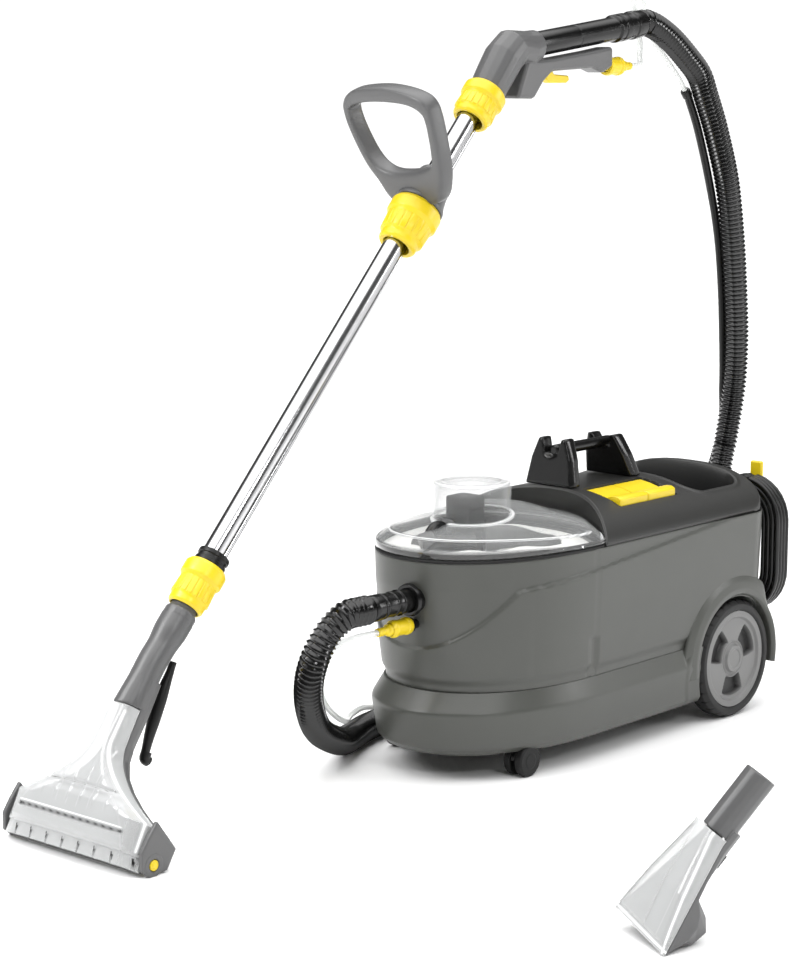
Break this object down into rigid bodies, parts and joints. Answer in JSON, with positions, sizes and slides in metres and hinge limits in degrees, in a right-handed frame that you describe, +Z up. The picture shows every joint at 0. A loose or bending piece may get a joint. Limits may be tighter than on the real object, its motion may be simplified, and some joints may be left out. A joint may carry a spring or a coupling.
{
  "type": "carpet cleaner machine",
  "caption": "Wheeled spray-extraction carpet cleaner with clear lid, ribbed suction hose, floor wand with D-handle and clear floor tool, and a separate hand nozzle.",
  "frame": {"origin": "bottom centre of the bounding box of everything except the cords and hoses, on the floor", "axes": "+Z up, +X along the machine from its hose end to its large wheels, +Y away from the near side, so the wand stands in a plane parallel to XZ"},
  "size_m": [1.6177, 0.9769, 1.1387],
  "materials": {
    "body_grey": "fine grained",
    "cover_grey": "satin",
    "yellow": "satin",
    "black": "gloss",
    "rubber": "matt",
    "tyre": "matt",
    "clear": "polished clear plastic",
    "steel": "polished",
    "white": "gloss",
    "clear_hose": "clear hose"
  },
  "bodies": {
    "housing": {"base_pan": "body_grey", "fresh_water_body": "body_grey", "top_cover": "cover_grey", "carry_handle": "black", "badge_plate": "white", "rear_axle": "steel", "vacuum_motor": "black", "spray_pump": "black", "hose_socket": "black", "spray_nipple": "black", "hose_cuff_front": "black", "hose_nipple_machine": "yellow", "suction_hose": "black", "spray_hose_front": "clear_hose", "spray_hose_sheath": "black", "spray_hose_rear": "clear_hose", "cord_gland": "black", "lead_hank": "black", "lead_tail": "black"},
    "lid": {"lid_dome": "clear", "lid_seal": "rubber"},
    "dirty_tank": {"dirty_water_tank": "clear", "float_cage": "black", "float_box": "black", "inlet_elbow": "black", "lint_filter": "white"},
    "float": {"float_ball": "white"},
    "vacuum_switch": {"vacuum_pedal": "yellow"},
    "spray_switch": {"spray_pedal": "yellow"},
    "wheel_near": {"tyre_near": "tyre", "rim_near": "body_grey"},
    "wheel_far": {"tyre_far": "tyre", "rim_far": "body_grey"},
    "castor_near": {"castor_fork_near": "black"},
    "castor_far": {"castor_fork_far": "black"},
    "castor_roll_near": {"castor_wheel_near": "rubber"},
    "castor_roll_far": {"castor_wheel_far": "rubber"},
    "impeller": {"turbine_impeller": "steel"},
    "hook": {"cable_hook": "yellow"},
    "machine_sleeve": {"coupling_sleeve_machine": "yellow"},
    "wand": {"floor_tool_body": "body_grey", "spray_nozzle_lance": "black", "suction_tube": "steel", "spray_tube": "steel", "lower_collar": "black", "grip_elbow": "body_grey", "grip_pipe": "black", "hose_nipple_wand": "yellow"},
    "foot_nut": {"lower_nut": "yellow"},
    "head_nut": {"upper_nut": "yellow"},
    "hand_loop": {"d_handle": "body_grey"},
    "loop_nut": {"middle_nut": "yellow"},
    "trigger": {"trigger_lever": "yellow"},
    "wand_sleeve": {"coupling_sleeve_wand": "yellow"},
    "mouth": {"head_window": "clear"},
    "lock_near": {"lock_button_near": "yellow"},
    "lock_far": {"lock_button_far": "yellow"},
    "hand_nozzle": {"hand_nozzle_body": "body_grey", "hand_nozzle_window": "clear", "hand_nozzle_clip": "black"}
  },
  "joints": [
    {"name": "lid_lift", "type": "slide", "parent": "housing", "child": "lid", "axis": [0, 0, 1], "range_m": [0, 0.2]},
    {"name": "tank_lift", "type": "slide", "parent": "housing", "child": "dirty_tank", "axis": [0, 0, 1], "range_m": [0, 0.1]},
    {"name": "float_rise", "type": "slide", "parent": "dirty_tank", "child": "float", "axis": [0, 0, 1], "range_m": [0, 0.05]},
    {"name": "vacuum_press", "type": "hinge", "parent": "housing", "child": "vacuum_switch", "pos_m": [0.3009, 0.2226, 0.367], "axis": [1, 0, 0], "range_deg": [0, 4], "stiffness_Nm_per_rad": 1.2, "springref_deg": -28.65},
    {"name": "spray_press", "type": "hinge", "parent": "housing", "child": "spray_switch", "pos_m": [0.3709, 0.2226, 0.367], "axis": [1, 0, 0], "range_deg": [0, 4], "stiffness_Nm_per_rad": 1.2, "springref_deg": -28.65},
    {"name": "wheel_roll_near", "type": "hinge", "parent": "housing", "child": "wheel_near", "pos_m": [0.5074, 0.1286, 0.0915], "axis": [0, 1, 0], "continuous": true},
    {"name": "castor_swivel_near", "type": "hinge", "parent": "housing", "child": "castor_near", "pos_m": [0.0234, 0.1546, 0.023], "axis": [0, 0, 1], "continuous": true},
    {"name": "castor_spin_near", "type": "hinge", "parent": "castor_near", "child": "castor_roll_near", "pos_m": [0.0334, 0.1546, 0.023], "axis": [0, 1, 0], "continuous": true},
    {"name": "wheel_roll_far", "type": "hinge", "parent": "housing", "child": "wheel_far", "pos_m": [0.5074, 0.4086, 0.0915], "axis": [0, 1, 0], "continuous": true},
    {"name": "castor_swivel_far", "type": "hinge", "parent": "housing", "child": "castor_far", "pos_m": [0.0234, 0.3826, 0.023], "axis": [0, 0, 1], "continuous": true},
    {"name": "castor_spin_far", "type": "hinge", "parent": "castor_far", "child": "castor_roll_far", "pos_m": [0.0334, 0.3826, 0.023], "axis": [0, 1, 0], "continuous": true},
    {"name": "impeller_spin", "type": "hinge", "parent": "housing", "child": "impeller", "pos_m": [0.3394, 0.2686, 0.1324], "axis": [0, 0, 1], "continuous": true},
    {"name": "hook_turn", "type": "hinge", "parent": "housing", "child": "hook", "pos_m": [0.6029, 0.1826, 0.315], "axis": [1, 0, 0], "range_deg": [0, 180]},
    {"name": "machine_sleeve_pull", "type": "slide", "parent": "housing", "child": "machine_sleeve", "axis": [-1, 0, 0], "range_m": [0, 0.003], "stiffness_N_per_m": 900, "springref_m": -0.002},
    {"name": "wand_tilt", "type": "hinge", "parent": "housing", "child": "wand", "pos_m": [-0.6286, 0.3476, 0], "axis": [0, 1, 0], "range_deg": [-12, 5], "deforming": ["suction_hose", "spray_hose_sheath", "spray_hose_rear"]},
    {"name": "foot_nut_turn", "type": "hinge", "parent": "wand", "child": "foot_nut", "pos_m": [-0.41918, 0.3476, 0.31721], "axis": [0.6794, 0, 0.7337], "continuous": true},
    {"name": "head_nut_turn", "type": "hinge", "parent": "wand", "child": "head_nut", "pos_m": [0.15971, 0.3476, 0.94235], "axis": [0.6794, 0, 0.7337], "continuous": true},
    {"name": "loop_slide", "type": "slide", "parent": "wand", "child": "hand_loop", "axis": [0.6794, 0, 0.7337], "range_m": [-0.3, 0.08]},
    {"name": "loop_nut_turn", "type": "hinge", "parent": "hand_loop", "child": "loop_nut", "pos_m": [0.00343, 0.3476, 0.77359], "axis": [0.6794, 0, 0.7337], "continuous": true},
    {"name": "trigger_pull", "type": "hinge", "parent": "wand", "child": "trigger", "pos_m": [0.3124, 0.3476, 0.99], "axis": [0, -1, 0], "range_deg": [0, 5], "stiffness_Nm_per_rad": 1, "springref_deg": -20.05},
    {"name": "wand_sleeve_pull", "type": "slide", "parent": "wand", "child": "wand_sleeve", "axis": [1, 0, 0], "range_m": [0, 0.003], "stiffness_N_per_m": 900, "springref_m": -0.002},
    {"name": "mouth_lift", "type": "slide", "parent": "wand", "child": "mouth", "axis": [-0.8588, 0, 0.5123], "range_m": [0, 0.12]},
    {"name": "lock_press_near", "type": "slide", "parent": "wand", "child": "lock_near", "axis": [0, 1, 0], "range_m": [0, 0.003], "stiffness_N_per_m": 600, "springref_m": -0.002},
    {"name": "lock_press_far", "type": "slide", "parent": "wand", "child": "lock_far", "axis": [0, -1, 0], "range_m": [0, 0.003], "stiffness_N_per_m": 600, "springref_m": -0.002},
    {"name": "hand_nozzle_lift", "type": "slide", "parent": "housing", "child": "hand_nozzle", "axis": [0, 0, 1], "range_m": [0, 0.3]}
  ],
  "couplings": [
    {"joint": "tank_lift", "follows": "lid_lift", "ratio": 0.5}
  ]
}
